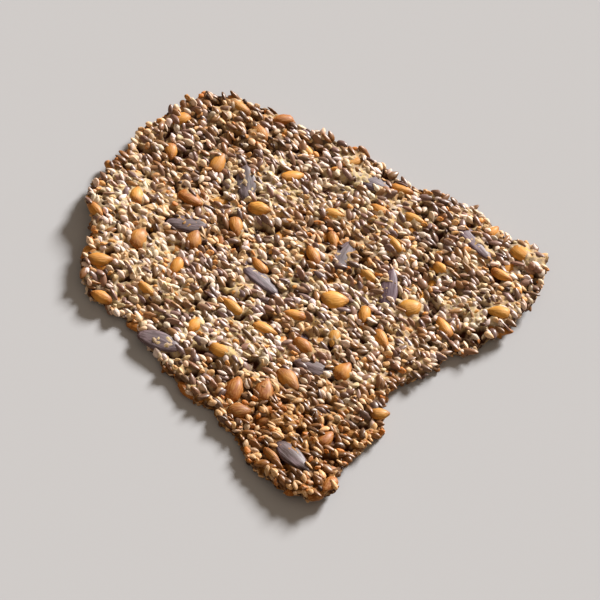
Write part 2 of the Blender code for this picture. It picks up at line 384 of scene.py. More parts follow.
rim_placed = []
for seed, count, start in RIM_SEEDS:
    draws = random.Random(start)
    for number in range(count):
        way = around * (number + draws.uniform(0.1, 0.9)) / count
        skew = draws.uniform(-RIM_SKEW, RIM_SKEW)
        tilt = draws.uniform(-2, 2) * MOST_TILT
        size = LEAST_SIZE + SIZE_SPREAD * draws.random()
        x, y, heading = on_the_rim(way, RIM_INSET)
        if in_box(spots_of(seed, x, y, heading + skew)):
            rim_placed.append((seed, x, y, heading + skew, tilt, size))
print("seeds in the break:", len(rim_placed))

# %% The kernels of the two faces
UNDER_PROUD = 0.34
LEAST_GAP = 0.15 * MM
PLUMPEST = {SUNFLOWER: 2.4 * MM, FLAX: 1.4 * MM}  # the thickness to leave room for
LARGEST = LEAST_SIZE + SIZE_SPREAD


def off_the_table(seed, x, y):
    """Whether the underside is high enough here for a seed to stand out of it."""
    return under_face(x, y) > UNDER_PROUD * PLUMPEST[seed] * LARGEST + LEAST_GAP


top_placed = place_seeds(TOP_SEEDS, BOLD_KERNELS, lambda seed, x, y: True)
under_placed = place_seeds(UNDER_SEEDS, {}, off_the_table)
print("kernels on the face:", len(top_placed), "and under it:", len(under_placed))

# %% [markdown]
# ## Laying a seed
# A laid seed is a place, three axes and a size. Its first axis runs along the seed and its third
# stands on the surface below. Every seed of a kind goes in one list, with two numbers that its
# colour will use: how dark the oven made it and a chance shade. The oven was hottest at the tip,
# and every break dries and browns first.

# %% Where the oven was hottest: 1 is baked brown, and more leaves hardly a seed raw
HOTTEST = 1.5
HEAT_AT_BREAK = 0.55
BREAK_REACH = 4 * MM
HOT_SPOTS_MM = [
    # middle, reach and how hot
    ((6, 30), 22, 0.4), ((10, -66), 42, 1.6), ((-8, -54), 26, 0.55),
    ((70, 40), 24, 0.1), ((-40, 76), 30, 0.5), ((-40, 22), 22, 0.5),
]


def oven_heat(x, y, inset):
    heat = np.clip(1 - inset / BREAK_REACH, 0, 1) * HEAT_AT_BREAK
    for middle, reach, most in HOT_SPOTS_MM:
        share = nearness(x, y, middle, reach)
        heat = heat + most * share * (2 - share)
    return np.clip(heat, 0, HOTTEST)


for label, x, y in (("at the tip", 12 * MM, -70 * MM), ("in the middle", 0.0, 0.0)):
    print("heat", label, round(float(oven_heat(x, y, inset_of(x, y))), 2))

# %% Lists of laid seeds
SIZES_VARY = 0.12
BITS_VARY = 0.32
KERNEL_BROWNED = 0.2
SEED_BROWNED = 0.1
laid = {kind: [] for kind in KINDS}
luck = random.Random(7)


def lay(kind, x, y, z, rises, heading, roll, size, browned=0.0, girth=1.0, pitch=0.0):
    """Adds one seed. Rises say how the surface climbs, roll and pitch how the seed lies on it.

    Those in the break and below the sheet get more heat than the face, which browned adds.
    """
    upwards = Vector((-rises[0], -rises[1], 1)).normalized()
    turn = Vector((0, 0, 1)).rotation_difference(upwards).to_matrix()
    turn = turn @ Matrix.Rotation(heading, 3, "Z") @ Matrix.Rotation(pitch, 3, "Y")
    turn = turn @ Matrix.Rotation(roll, 3, "X")
    wild = BITS_VARY if kind is BIT else SIZES_VARY
    body = np.array(turn) * [size * luck.uniform(1 - wild, 1 + wild) for _ in range(3)]
    heat = float(oven_heat(x, y, map_inset(x, y)))
    laid[kind].append((body * [1, girth, 1], (x, y, z), heat + browned, luck.random()))


def show_laid(when):
    print(when, {kind.name: len(found) for kind, found in laid.items()})


# %% [markdown]
# ## The height map
# The map starts as the bare sheet, which a spatula left lumpy. Each seed that is pressed in
# lifts it to the seed's own rounded top, and the next seed then lies on that: a plane is fitted
# to the heights below it, which gives its tilt. A second map remembers which cells are seed and
# not dough. Where steam broke through, a pore is left, and no seed lies on it.

# %% Blurring and noise on the map
SPOT_EDGE = 0.5


def blurred(field, reach):
    """The field averaged over a soft round spot of this reach."""
    steps = reach / STEP
    ahead = np.arange(-int(3 * steps), int(3 * steps) + 1)
    weights = np.exp(-0.5 * (ahead / steps) ** 2)
    weights = weights / weights.sum()
    for axis in (0, 1):
        field = sum(weight * np.roll(field, shift, axis) for shift, weight in zip(ahead, weights))
    return field


def soft_noise(reach, start):
    """Smooth random hills of this reach, about zero and with a spread of one."""
    field = blurred(np.random.default_rng(start).standard_normal(XX.shape), reach)
    return (field - field.mean()) / field.std()


def hills(layers):
    """Layers of noise added up. Each has a height and a reach in mm and a start of its draws."""
    return sum(tall * MM * soft_noise(reach * MM, start) for tall, reach, start in layers)


def rare_spots(reach, start, rarity):
    """0 on most of the map and 1 in the few spots where the noise is highest."""
    return np.clip((soft_noise(reach, start) - rarity) / SPOT_EDGE, 0, 1)


# %% The lumpy face before any seed, and its pores
DEEPEST_DIP = 0.8 * MM
TALLEST_LUMP = 0.6 * MM
PORE_REACH = 0.62 * MM
PORE_RARITY = 1.05
lumps = hills([(0.26, 1.9, 11), (0.16, 4.5, 12)])
BARE = top_face(XX, YY) + np.clip(lumps, -DEEPEST_DIP, TALLEST_LUMP)
height = BARE.copy()
pores = rare_spots(PORE_REACH, 3, PORE_RARITY)
print("share of the face that is pores:", round(float((pores[ON_SHEET] > 0.3).mean()), 3))

# %% The cells under a seed
covered = np.zeros(BARE.shape, bool)


def footprint(kind, x, y, heading, size):
    """The cells under a seed: their window on the map, which are covered, and the dome there."""
    reach = kind.length * size / 2 + STEP
    i, j = int((x - reach - GRID_X[0]) / STEP), int((y - reach - GRID_Y[0]) / STEP)
    span = int(2 * reach / STEP) + 2
    window = (slice(max(i, 0), i + span), slice(max(j, 0), j + span))
    dx, dy = XX[window] - x, YY[window] - y
    along = (dx * math.cos(heading) + dy * math.sin(heading)) / (kind.length * size / 2)
    across = (dy * math.cos(heading) - dx * math.sin(heading)) / (kind.width * size / 2)
    across = across / (1 - kind.taper * np.clip(along, 0, 1))
    left = 1 - along**2 - across**2
    under = left > 0
    return window, under, dx[under], dy[under], kind.thickness * size / 2 * np.sqrt(left[under])


def raise_map(kind, x, y, z, rises, heading, size, core=0.0):
    """Lifts the map to the seed's top. Only its core keeps later seeds off."""
    window, under, dx, dy, dome = footprint(kind, x, y, heading, size)
    tops = z + rises[0] * dx + rises[1] * dy + dome
    height[window][under] = np.maximum(height[window][under], tops)
    covered[window][under] |= dome >= core * kind.thickness * size / 2


def share_covered():
    return round(float(covered[ON_SHEET].mean()), 2)


# %% Pressing a seed into the face
LEAST_CELLS = 8
LEAST_ON_SHEET = 0.62
MOST_PORE = 0.11
MOST_PROUD = 1.7 * MM
HAIR = 0.05 * MM
TALLEST = cad_box[1][2] - HAIR
STEEPEST = 0.75
UNEVEN = 0.24
MOST_ROLL = 0.5


def press(kind, x, y, heading, size, proud, most_covered):
    """Lays one seed on what is there, unless it can't lie there."""
    window, under, dx, dy, dome = footprint(kind, x, y, heading, size)
    on_sheet = ON_SHEET[window][under]
    if on_sheet.size < LEAST_CELLS or on_sheet.mean() < LEAST_ON_SHEET:
        return
    if covered[window][under].mean() > most_covered or pores[window][under].mean() > MOST_PORE:
        return
    below = height[window][under][on_sheet]
    basis = np.column_stack((np.ones(below.size), dx[on_sheet], dy[on_sheet]))
    level, rise_x, rise_y = np.linalg.lstsq(basis, below, rcond=None)[0]
    rises = rise_x + luck.gauss(0, UNEVEN), rise_y + luck.gauss(0, UNEVEN)
    rises = [float(np.clip(rise, -STEEPEST, STEEPEST)) for rise in rises]
    z = float(level) + (proud - 0.5) * kind.thickness * size
    tops = z + rises[0] * dx + rises[1] * dy + dome
    if (tops - BARE[window][under]).max() > MOST_PROUD or tops.max() > TALLEST:
        return
    reach_x = abs(x) + kind.length * size * 0.5 * abs(math.cos(heading))
    reach_y = abs(y) + kind.length * size * 0.5 * abs(math.sin(heading))
    if reach_x > HALF_LENGTH or reach_y > HALF_DEPTH:
        return
    lay(kind, x, y, z, rises, heading, luck.uniform(-MOST_ROLL, MOST_ROLL), size)
    raise_map(kind, x, y, z, rises, heading, size)


# %% The kernels go in first, and the bold ones are larger, browner and less overgrown
BARE_PUMPKINS = 3
BOLD_SIZE = 1.14
BOLD_GIRTH = 1.18
BOLD_BROWNED = 0.3
BARE_CORE = 0.1
CORES = {PUMPKIN: 0.7, SUNFLOWER: 0.35, FLAX: 0.35, SESAME: 0.35}
bold_sunflowers = {(x * MM, y * MM) for x, y, _ in BOLD_KERNELS[SUNFLOWER]}
for number, (kind, x, y, heading, tilt, size) in enumerate(top_placed):
    rises = slope(top_face, x, y)
    z = float(top_face(x, y)) + (kind.proud - 0.5) * kind.thickness
    bold = (x, y) in bold_sunflowers
    girth, browned = (BOLD_GIRTH, BOLD_BROWNED) if bold else (1.0, 0.0)
    size = size * BOLD_SIZE if bold else size
    lay(kind, x, y, z, rises, heading, tilt, size, browned, girth)
    core = BARE_CORE if bold or number < BARE_PUMPKINS else CORES[kind]
    raise_map(kind._replace(width=kind.width * girth), x, y, z, rises, heading, size, core)
for kind, x, y, heading, tilt, size in rim_placed:
    z = float(middle_face(x, y))
    lay(kind, x, y, z, slope(middle_face, x, y), heading, tilt, size, KERNEL_BROWNED)
print("face covered by kernels:", share_covered())

# %% [markdown]
# ## The crowd of small seeds
# The small seeds are thrown on at random, as a baker's hand does, in a few rounds. The first
# rounds fill bare dough, and the later ones let a seed lie partly on another. Their sizes and
# their depth in the dough differ from seed to seed. In a few pale patches flax is scarce, and
# more dough is smeared over the seeds.

# %% The rounds, the pale patches and the way the seeds point
ROUNDS = [
    # kind, throws, most that may be covered already, least and most proud
    (BIT, 2200, 0.12, 0.35, 0.65),
    (FLAX, 4200, 0.14, 0.40, 0.80),
    (SESAME, 6500, 0.16, 0.40, 0.80),
    (FLAX, 4700, 0.34, 0.30, 0.70),
    (SESAME, 9000, 0.38, 0.30, 0.70),
    (CHIA, 4500, 0.35, 0.40, 0.80),
    (BIT, 2600, 0.45, 0.30, 0.60),
    (FLAX, 1900, 0.85, 0.18, 0.45),
    (SESAME, 2600, 0.85, 0.18, 0.45),
]
PALE_PATCHES_MM = [
    # middle, reach and how pale
    ((-60, 2), 32, 1.25), ((-40, 21), 20, 0.5), ((58, 24), 20, 0.4), ((-4, -24), 20, 0.3),
]
SPREAD_WAY = math.radians(-36)
SPREAD_SKEW = 0.40
SHARE_DRAWN_ROUND = 0.86
thrower = random.Random(5)


def paleness(x, y):
    """How scarce flax is, and how thickly dough is smeared over the seeds instead."""
    pale = np.zeros(np.shape(x))
    for middle, reach, most in PALE_PATCHES_MM:
        pale = np.maximum(pale, most * nearness(x, y, middle, reach))
    return pale


def heading_by_spatula():
    """Most seeds were drawn round to the way that the spatula went, and the rest lie anyhow."""
    if thrower.random() < SHARE_DRAWN_ROUND:
        return thrower.gauss(SPREAD_WAY, SPREAD_SKEW) + thrower.choice((0, math.pi))
    return thrower.uniform(0, TURN)


# %% Throwing the small seeds
FACE_SIZES = (0.78, 1.12)
for kind, throws, most_covered, least_proud, most_proud in ROUNDS:
    before = len(laid[kind])
    for _ in range(throws):
        x, y = anywhere(thrower)
        heading = heading_by_spatula()
        size = thrower.uniform(*FACE_SIZES)
        proud = thrower.uniform(least_proud, most_proud)
        if kind is FLAX and thrower.random() < paleness(x, y):
            continue
        if map_inset(x, y) > 0:
            press(kind, x, y, heading, size, proud, most_covered)
    print(kind.name, "+", len(laid[kind]) - before, "covered", share_covered())

# %% [markdown]
# ## Seeds in the break and under the sheet
# The torn rim shows seeds at every height and angle. The underside was pressed flat, so its
# seeds lie level in it, some deeper than the rest, and none may reach below the table.

# %% Small seeds in the rim
RIM_CROWD = [(FLAX, 130), (SESAME, 330), (CHIA, 130), (BIT, 130)]
RIM_SIZES = (0.75, 1.05)
RIM_DEPTHS_MM = (0.8, 1.8)
RIM_HEIGHTS = (0.15, 0.85)
MOST_PITCH = 0.6
RIM_ROLL = 0.8
LEAST_IN_DOUGH = 0.8
PAST_FACE = 0.8 * MM
for kind, count in RIM_CROWD:
    for number in range(count):
        inwards = thrower.uniform(*RIM_DEPTHS_MM) * MM
        x, y, along_rim = on_the_rim(around * (number + thrower.random()) / count, inwards)
        size = thrower.uniform(*RIM_SIZES)
        low, high = float(under_face(x, y)), float(top_face(x, y))
        pitch = thrower.uniform(-MOST_PITCH, MOST_PITCH)
        half = kind.thickness / 2 + kind.length / 2 * abs(math.sin(pitch))
        z = low + (high - low) * thrower.uniform(*RIM_HEIGHTS)
        z = max(z, low + half * size * LEAST_IN_DOUGH, half * size + HAIR)
        heading = along_rim + thrower.uniform(-RIM_SKEW, RIM_SKEW)
        if in_box(spots_of(kind, x, y, heading)) and z + half * size < high + PAST_FACE:
            roll = thrower.uniform(-RIM_ROLL, RIM_ROLL)
            lay(kind, x, y, z, (0, 0), heading, roll, size, SEED_BROWNED, pitch=pitch)
show_laid("with the rim:")

# %% Flush seeds of the underside
UNDER_THROWS = [
    # kind, throws, least distance to the break, least and most depth in the dough, all in mm
    (PUMPKIN, 60, 5.0, -0.34, -0.30),
    (SUNFLOWER, 260, 2.0, 0.0, 0.2),
    (FLAX, 6200, 1.0, 0.0, 0.22),
    (SESAME, 12000, 0.8, 0.0, 0.22),
    (CHIA, 3000, 0.8, 0.0, 0.2),
]
MOST_TAKEN = 0.25
PUMPKINS_IN_ALL = 16
UNDER_SIZES = (0.8, 1.05)
under_taken = np.zeros(BARE.shape, bool)
for kind, x, y, heading, tilt, size in under_placed:
    z = float(under_face(x, y)) - (UNDER_PROUD - 0.5) * kind.thickness
    lay(kind, x, y, z, slope(under_face, x, y), heading, tilt, size, KERNEL_BROWNED)
    window, under, *_ = footprint(kind, x, y, heading, size)
    under_taken[window][under] = True
for kind, throws, margin, shallow, deepest in UNDER_THROWS:
    for _ in range(throws):
        x, y = anywhere(thrower)
        heading, size = thrower.uniform(0, TURN), thrower.uniform(*UNDER_SIZES)
        window, under, *_ = footprint(kind, x, y, heading, size)
        enough = kind is PUMPKIN and len(laid[PUMPKIN]) >= PUMPKINS_IN_ALL
        if enough or map_inset(x, y) < margin * MM or under_taken[window][under].mean() > MOST_TAKEN:
            continue
        under_taken[window][under] = True
        depth = thrower.uniform(shallow, deepest) * MM
        z = float(under_face(x, y)) + depth + kind.thickness * size / 2
        lay(kind, x, y, z, slope(under_face, x, y), heading, 0.0, size, SEED_BROWNED)
show_laid("with the underside:")

# %% [markdown]
# ## The dough between the seeds
# Baked dough clings to the seeds and sinks between them. A blurred copy of the height map does
# just that: it is high where seeds crowd and low in the gaps. The dough follows it for part of
# the way, a little noise makes it crumbly, and a stronger noise opens small dark pits. How far
# the dough sinks below the seeds around it is kept too, and darkens its colour as painted shade.

# %% Heights of the dough
CREEP = 0.58
CREEP_IF_SMEARED = 0.36
CROWD_REACH = 0.75 * MM
SUNK = 0.42 * MM
PORE_DEPTH = 1.6 * MM
DOUGH_CLEAR = 0.40 * MM
PIT_DEPTH = 1.0 * MM
EDGE_REACH = 1.6 * MM
EDGE_LIFT = 0.5 * MM
EDGE_SHARE = 0.62
LEAST_DOUGH = 0.5 * MM
# Painted shade: the dough's colour darkens where it lies this far below the seeds around it, and is
# darkest this much lower
GAP_SHADE_FROM = 0.22 * MM
GAP_SHADE_OVER = 0.85 * MM
smeared = np.clip(0.5 + 0.5 * soft_noise(2.6 * MM, 8) + 0.5 * paleness(XX, YY), 0, 1)
crowd = blurred(height, CROWD_REACH) - BARE
crumb = hills([(0.13, 0.32, 1), (0.08, 0.7, 2)])
edge = np.clip(INSET / EDGE_REACH, 0, 1)
edge = edge * edge * (3 - 2 * edge)
bottom = under_face(XX, YY) + DOUGH_CLEAR + hills([(0.08, 0.5, 4)])
bottom = bottom + PIT_DEPTH * rare_spots(0.6 * MM, 9, 1.3)
bottom = bottom + (1 - edge) * EDGE_LIFT
upper = BARE - SUNK * (1.3 - smeared) + (CREEP + CREEP_IF_SMEARED * smeared) * crowd
upper = upper + crumb - PORE_DEPTH * pores
upper = bottom + (upper - bottom) * (EDGE_SHARE + (1 - EDGE_SHARE) * edge)
upper = np.clip(upper, bottom + LEAST_DOUGH, TALLEST)
# Painted shade in the gaps: 0 where the dough is near the height of the seeds around it, 1 where it
# lies low between them
painted_gap_shade = np.clip((blurred(height, 1.2 * MM) - upper - GAP_SHADE_FROM) / GAP_SHADE_OVER, 0, 1)
creep = float((upper - BARE)[INSET > 3 * MM].mean())
print("dough rises above the bare sheet by", round(creep / MM, 2), "mm")


def read_map(field, x, y):
    """Heights between the cells of a map, mixed from the four nearest."""
    u = np.clip((x - GRID_X[0]) / STEP, 0, len(GRID_X) - 1.001)
    v = np.clip((y - GRID_Y[0]) / STEP, 0, len(GRID_Y) - 1.001)
    i, j = u.astype(int), v.astype(int)
    s, t = u - i, v - j
    near = field[i, j] * (1 - s) + field[i + 1, j] * s
    far = field[i, j + 1] * (1 - s) + field[i + 1, j + 1] * s
    return near * (1 - t) + far * t


# %% [markdown]
# ## The sheet of dough as a mesh
# A circle with as many corners as the break is added, and each corner is pulled to its place.
# The face inside is extruded to the sheet's thickness. A voxel remesh then divides it evenly, so
# that its points can take the heights of the maps, and a decimation saves faces where it is
# smooth.

# %% A slab with the break's outline
def start_alone():
    """Nothing selected, so that the next tool acts on its own object only."""
    if bpy.context.mode != "OBJECT":
        bpy.ops.object.mode_set(mode="OBJECT")
    bpy.ops.object.select_all(action="DESELECT")


def start_edit(action="SELECT"):
    """Edit mode, with the whole mesh selected or, for DESELECT, nothing."""
    bpy.ops.object.mode_set(mode="EDIT")
    bpy.ops.mesh.select_all(action=action)


start_alone()
bpy.ops.mesh.primitive_circle_add(vertices=len(outline), radius=50 * MM, fill_type="NGON")
dough = bpy.context.active_object
dough.name = "baked_dough"
for vert, place in zip(dough.data.vertices, outline):
    vert.co = (place.x, place.y, 0)
start_edit()
bpy.ops.mesh.extrude_region_move(TRANSFORM_OT_translate={"value": (0, 0, SHEET_THICKNESS)})
bpy.ops.mesh.select_all(action="SELECT")
bpy.ops.mesh.normals_make_consistent(inside=False)
bpy.ops.object.mode_set(mode="OBJECT")
print("slab:", len(dough.data.polygons), "faces")

# %% Even divisions
VOXEL = 0.45 * MM
evener = dough.modifiers.new("Evener", "REMESH")
evener.mode = "VOXEL"
evener.voxel_size = VOXEL
bpy.ops.object.modifier_apply(modifier=evener.name)
print("slab:", len(dough.data.vertices), "points")


# %% Reading a mesh as arrays, and giving its points numbers that a finish can read
def points_of(mesh):
    places = np.empty(len(mesh.vertices) * 3)
    mesh.vertices.foreach_get("co", places)
    return places.reshape(-1, 3)


def corners_of(mesh):
    """For each corner of each face, the number of its point."""
    numbers = np.empty(len(mesh.loops), np.int32)
    mesh.loops.foreach_get("vertex_index", numbers)
    return numbers


def carry(mesh, name, values):
    mesh.attributes.new(name, "FLOAT", "POINT").data.foreach_set("value", values)


# %% The slab takes the heights of the maps
TORN_REACH = 1.5 * MM
TORN = 0.28 * MM
TORN_BACK = 0.35 * MM
BROWNED_BELOW = 0.3
BELOW = 0.35
SHADE_SPREAD = 0.16
x, y, z = points_of(dough.data).T
share = np.clip(z / SHEET_THICKNESS, 0, 1)
inset = read_map(INSET, x, y)
inwards_x, inwards_y = np.gradient(blurred(INSET, 0.6 * MM), STEP)
torn_low, torn_high = (read_map(soft_noise(0.5 * MM, start), x, y) for start in (5, 6))
pull = (torn_low * (1 - share) + torn_high * share) * TORN
pull = (pull + TORN_BACK) * np.clip(1 - inset / TORN_REACH, 0, 1)
new_x = x + pull * read_map(inwards_x, x, y)
new_y = y + pull * read_map(inwards_y, x, y)
low, high = read_map(bottom, x, y), read_map(upper, x, y)
places = np.column_stack((new_x, new_y, low + share * (high - low)))
dough.data.vertices.foreach_set("co", places.ravel())
dough.data.update()
from_below = BROWNED_BELOW * np.clip(1 - share / BELOW, 0, 1)
# The painted shade of the gaps is full on the seeded face and fades to none on the underside
carry(dough.data, "painted_gap_shade", read_map(painted_gap_shade, x, y) * share)
carry(dough.data, "browned", oven_heat(x, y, inset) + from_below)
carry(dough.data, "shade", 0.5 + SHADE_SPREAD * read_map(soft_noise(2.2 * MM, 7), x, y))
print("dough is up to", round(float(places[:, 2].max()) / MM, 2), "mm high")

# %% Fewer faces where it is smooth
MOST_TRIANGLES = 188_000
dough.data.calc_loop_triangles()
saver = dough.modifiers.new("Saver", "DECIMATE")
saver.ratio = min(1.0, MOST_TRIANGLES / len(dough.data.loop_triangles))
saver.use_collapse_triangulate = True
bpy.ops.object.modifier_apply(modifier=saver.name)
bpy.ops.object.shade_smooth()
print("dough:", len(dough.data.polygons), "faces")

# %% A texture map of the dough: its seeded face on the left half, its underside on the right
MAP_SIDE = 164 * MM
WIDEST_FLARE = 3 * MM
x, y, z = points_of(dough.data).T
corners = corners_of(dough.data)
faces_up = np.repeat([face.normal.z >= 0 for face in dough.data.polygons], 3)
below_top, above_bottom = read_map(upper, x, y) - z, z - read_map(bottom, x, y)
flare = np.where(faces_up, below_top[corners], above_bottom[corners])
flare = np.clip(flare, 0, WIDEST_FLARE)
across = x[corners] - flare * read_map(inwards_x, x, y)[corners]
along = y[corners] - flare * read_map(inwards_y, x, y)[corners]
map_u = np.where(faces_up, 0.25, 0.75) + across / MAP_SIDE / 2
map_v = 0.5 + along / MAP_SIDE
dough_map = dough.data.uv_layers.new(name="OFBake")
dough_map.data.foreach_set("uv", np.column_stack((map_u, map_v)).ravel())
print("map from", map_u.min().round(3), map_v.min().round(3))
print("to", map_u.max().round(3), map_v.max().round(3))

# %% [markdown]
# ## One seed of each kind
# Each kind is modelled once at its true size. The small kinds have only a few dozen faces, since
# they are repeated hundreds of times. A ball with its poles at the seed's ends is squeezed to
# length, width and thickness, and rings of points are then narrowed towards the tip.

# %% The ball that a seed starts from, and how it is shaped
def ball_for(kind, around, rings):
    """A ball with its poles along X, squeezed to the seed's three sizes."""
    start_alone()
    bpy.ops.mesh.primitive_uv_sphere_add(segments=around, ring_count=rings, radius=0.5)
    seed = bpy.context.active_object
    seed.name = kind.name + "_seed"
    start_edit()
    bpy.ops.transform.rotate(value=math.pi / 2, orient_axis="Y", center_override=(0, 0, 0))
    bpy.ops.transform.resize(value=kind[1:4], center_override=(0, 0, 0))
    bpy.ops.object.mode_set(mode="OBJECT")
    return seed


def squeeze(seed, chosen, value, centre=(0, 0, 0)):
    """Scales the points that the test chooses, about a centre."""
    start_alone()
    bpy.context.view_layer.objects.active = seed
    seed.select_set(True)
    start_edit("DESELECT")
    body = bmesh.from_edit_mesh(seed.data)
    for vert in body.verts:
        vert.select = bool(chosen(vert.co))
    body.select_flush_mode()
    bmesh.update_edit_mesh(seed.data)
    bpy.ops.transform.resize(value=value, center_override=centre)
    bpy.ops.object.mode_set(mode="OBJECT")


def narrow(seed, kind, thin=0.25):
    """Narrows ring after ring from the middle to the tip at +X."""
    rings = sorted({round(vert.co.x, 6) for vert in seed.data.vertices if vert.co.x > 1e-6})
    for ring in rings[:-1]:
        share = ring / (kind.length / 2)
        value = (1, 1 - kind.taper * share, 1 - thin * share)
        squeeze(seed, lambda co, ring=ring: abs(co.x - ring) < 1e-5, value, (ring, 0, 0))


# %% The small seeds
flax_seed = ball_for(FLAX, 8, 6)
narrow(flax_seed, FLAX)
sesame_seed = ball_for(SESAME, 8, 6)
narrow(sesame_seed, SESAME._replace(taper=0.62), 0.45)
chia_seed = ball_for(CHIA, 6, 4)
for seed in (flax_seed, sesame_seed, chia_seed):
    print(seed.name, "has", len(seed.data.polygons), "faces")

# %% [markdown]
# A sunflower kernel is a drop with a ridge along each face, and its broad end is blunt. A pumpkin
# kernel is flat, with a thin lip all round and a shallow hollow inside it, and comes to a point.

# %% The sunflower and pumpkin kernels
def squeeze_middle(seed, kind, wide, long, value):
    """Scales the points within these shares of half the width and of the length."""
    half_width, reach = kind.width / 2, long * kind.length
    squeeze(seed, lambda co: abs(co.y) < wide * half_width and abs(co.x) < reach, value)


sunflower_seed = ball_for(SUNFLOWER, 12, 9)
narrow(sunflower_seed, SUNFLOWER)
squeeze_middle(sunflower_seed, SUNFLOWER, 0.12, 0.4, (1, 1, 1.07))
blunt = -0.30 * SUNFLOWER.length
squeeze(sunflower_seed, lambda co: co.x < blunt, (1, 1.16, 1.10), (blunt, 0, 0))

pumpkin_seed = ball_for(PUMPKIN, 20, 13)
narrow(pumpkin_seed, PUMPKIN, 0.1)
squeeze_middle(pumpkin_seed, PUMPKIN, 0.62, 0.36, (1, 1, 0.74))
squeeze_middle(pumpkin_seed, PUMPKIN, 0.2, 0.30, (1, 1, 1.16))
point = 0.44 * PUMPKIN.length
squeeze(pumpkin_seed, lambda co: co.x > point, (1.05, 0.6, 0.8), (point, 0, 0))
for seed in (sunflower_seed, pumpkin_seed):
    print(seed.name, "has", len(seed.data.polygons), "faces")

# %% [markdown]
# Chopped kernels are angular. A ball of twenty faces is enough, with each point pushed in or out
# by chance, so that no two sides are alike, and a narrow bevel to soften its edges.

# %% A bit of chopped kernel
start_alone()
bpy.ops.mesh.primitive_ico_sphere_add(subdivisions=1, radius=0.5)
bit_seed = bpy.context.active_object
bit_seed.name = "bit_seed"
start_edit()
bpy.ops.transform.vertex_random(offset=0.2, uniform=1.0, seed=3)
bpy.ops.transform.resize(value=BIT[1:4], center_override=(0, 0, 0))
bpy.ops.mesh.bevel(offset=0.25 * MM, segments=1, affect="EDGES", clamp_overlap=True)
bpy.ops.object.mode_set(mode="OBJECT")
print("a bit has", len(bit_seed.data.polygons), "faces")

# %% [markdown]
# ## From one seed to hundreds
# All seeds of a kind become one mesh. The model's points are multiplied by every laid seed's
# axes at once, which numpy does in a moment. Each copy also carries its own numbers: how brown
# it is, its chance shade, and where each point lies along and across the seed. It gets a small
# square of its own on the kind's texture map, the upper side in one part and the lower in
# another, so that its colours can be baked. A seed that has no point inside the dough would fall
# off when the shard is picked up, so it is left out.

# %% Which seeds the dough holds
dough_shape = BVHTree.FromObject(dough, bpy.context.evaluated_depsgraph_get())


def is_held(points):
    """Whether the dough holds a seed: one of its points is inside."""
    for point in points:
        on_dough, outwards, *_ = dough_shape.find_nearest(point)
        if (Vector(point) - on_dough).dot(outwards) < 0:
            return True
    return False


# %% Copies as one mesh
MAP_LENGTH = 0.86
UPPER_MIDDLE, UPPER_WIDTH = 0.68, 0.54
LOWER_MIDDLE, LOWER_WIDTH = 0.21, 0.30
MAP_LOW, MAP_HIGH = 0.03, 0.97


def small_maps(model, kind, count):
    """A texture place for each corner of each copy: a square for a seed, in a grid of squares."""
    corners = points_of(model)[corners_of(model)]
    facing = np.concatenate([[poly.normal.z >= 0] * poly.loop_total for poly in model.polygons])
    u = 0.5 + corners[:, 0] / kind.length * MAP_LENGTH
    v = corners[:, 1] / kind.width
    v = np.where(facing, UPPER_MIDDLE + v * UPPER_WIDTH, LOWER_MIDDLE + v * LOWER_WIDTH)
    u, v = np.clip(u, MAP_LOW, MAP_HIGH), np.clip(v, MAP_LOW, MAP_HIGH)
    per_side = math.ceil(math.sqrt(count))
    number = np.arange(count)[:, None]
    map_u = (number % per_side + u) / per_side
    map_v = (number // per_side + v) / per_side
    return np.stack((map_u, map_v), 2)


def repeated(model, everywhere, name):
    """One mesh of many copies: the model's faces, on points that each copy has of its own."""
    count, size = everywhere.shape[:2]
    faces = [tuple(face.vertices) for face in model.polygons]
    copies = [[corner + copy * size for corner in face] for copy in range(count) for face in faces]
    mesh = bpy.data.meshes.new(name)
    mesh.from_pydata(everywhere.reshape(-1, 3), [], copies)
    mesh.validate()
    return mesh


# %% Every laid seed of a kind as one object
DENTS = 0.15
DENT_WAVES = 3.2


def gather(kind, seed, name):
    """One object with every laid seed of the kind, each a little dented in its own way."""
    points = points_of(seed.data)
    grain = points / kind[1:4] * 2
    bodies, spots, browned, shades = (np.array(column) for column in zip(*laid[kind]))
    starts = np.random.default_rng(21).uniform(0, TURN, (len(bodies), 1, 3))
    waves = np.sin(DENT_WAVES * grain + starts).mean(2, keepdims=True)
    dented = points * (1 + DENTS * waves)
    everywhere = np.einsum("nij,npj->npi", bodies, dented) + spots[:, None]
    everywhere[..., 2] = np.maximum(everywhere[..., 2], 0)
    held = np.array([is_held(seed_points) for seed_points in everywhere])
    count = int(held.sum())
    mesh = repeated(seed.data, everywhere[held], name)
    carry(mesh, "browned", np.repeat(browned[held], len(points)))
    carry(mesh, "shade", np.repeat(shades[held], len(points)))
    on_seed = mesh.attributes.new("on_seed", "FLOAT_VECTOR", "POINT")
    on_seed.data.foreach_set("vector", np.tile(grain, (count, 1)).ravel())
    squares = mesh.uv_layers.new(name="OFBake")
    squares.data.foreach_set("uv", small_maps(seed.data, kind, count).ravel())
    mesh.shade_smooth()
    piece = new_object(name, mesh)
    bpy.data.objects.remove(seed)
    print(name, count, "seeds,", len(mesh.polygons), "faces,", len(held) - count, "loose ones left out")
    return piece


# %% All the kinds
MODELS = [
    (PUMPKIN, pumpkin_seed, "pumpkin_kernels"),
    (SUNFLOWER, sunflower_seed, "sunflower_kernels"),
    (FLAX, flax_seed, "flax_seeds"),
    (SESAME, sesame_seed, "sesame_seeds"),
    (CHIA, chia_seed, "chia_seeds"),
    (BIT, bit_seed, "kernel_bits"),
]
pieces = [dough] + [gather(kind, seed, name) for kind, seed, name in MODELS]
print("pieces:", [piece.name for piece in pieces])

